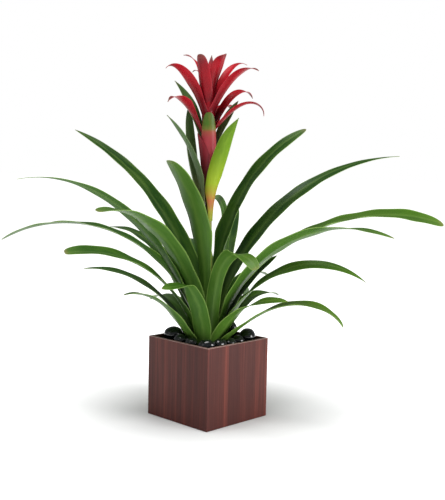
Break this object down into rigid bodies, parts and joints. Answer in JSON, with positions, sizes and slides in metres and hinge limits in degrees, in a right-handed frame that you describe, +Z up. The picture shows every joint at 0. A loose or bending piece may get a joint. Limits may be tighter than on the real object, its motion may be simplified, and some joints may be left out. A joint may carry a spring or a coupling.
{
  "type": "potted bromeliad",
  "caption": "Flowering rosette plant with arching strap leaves and a red bloom on a stem, in a square wooden planter topped with black river stones.",
  "frame": {"origin": "centre of the planter's underside, where it rests", "axes": "+Z up; the planter's four boards face +X, -X, +Y and -Y; the picture looks at the edge between the -X and -Y boards"},
  "size_m": [0.5601, 0.5336, 0.5445],
  "materials": {
    "planter_wood": "satin veneer",
    "liner_plastic": "matt",
    "soil": "loose growing mix",
    "stock": "rough",
    "leaf_green": "waxy leaf",
    "scape_red": "smooth stem",
    "bract_green": "waxy leaf",
    "bract_yellow": "waxy leaf",
    "bract_pink": "waxy leaf",
    "bloom_red": "waxy petal",
    "river_stone": "polished"
  },
  "bodies": {
    "root": {"planter": "planter_wood", "liner": "liner_plastic", "soil": "soil", "rootstock": "stock", "leaf_front_upright": "leaf_green", "leaf_right_tall": "leaf_green", "leaf_left_tall": "leaf_green", "leaf_right_long": "leaf_green", "leaf_left_broad": "leaf_green", "leaf_back_curled": "leaf_green", "leaf_left_long": "leaf_green", "leaf_back_dark": "leaf_green", "leaf_right_reaching": "leaf_green", "leaf_right_slim": "leaf_green", "leaf_left_reaching": "leaf_green", "leaf_back_1": "leaf_green", "leaf_right_narrow": "leaf_green", "leaf_left_rear": "leaf_green", "leaf_right_arched": "leaf_green", "leaf_left_blunt": "leaf_green", "leaf_back_2": "leaf_green", "leaf_front_folded_right": "leaf_green", "leaf_left_slim": "leaf_green", "leaf_back_3": "leaf_green", "leaf_front_short": "leaf_green", "leaf_back_4": "leaf_green", "leaf_front_folded_left": "leaf_green", "leaf_right_low": "leaf_green", "leaf_back_5": "leaf_green", "leaf_back_6": "leaf_green", "leaf_left_low": "leaf_green", "scape": "scape_red", "bract_yellow_green": "bract_yellow", "bract_left": "bract_green", "bract_left_inner": "bract_green", "bract_left_rear": "bract_green", "bract_right_rear": "bract_green", "bract_neck": "bract_pink", "bract_neck_left": "scape_red", "bloom": "bloom_red", "stone_01": "river_stone", "stone_02": "river_stone", "stone_03": "river_stone", "stone_04": "river_stone", "stone_05": "river_stone", "stone_06": "river_stone", "stone_07": "river_stone", "stone_08": "river_stone", "stone_09": "river_stone", "stone_10": "river_stone", "stone_11": "river_stone", "stone_12": "river_stone", "stone_13": "river_stone"}
  },
  "joints": []
}
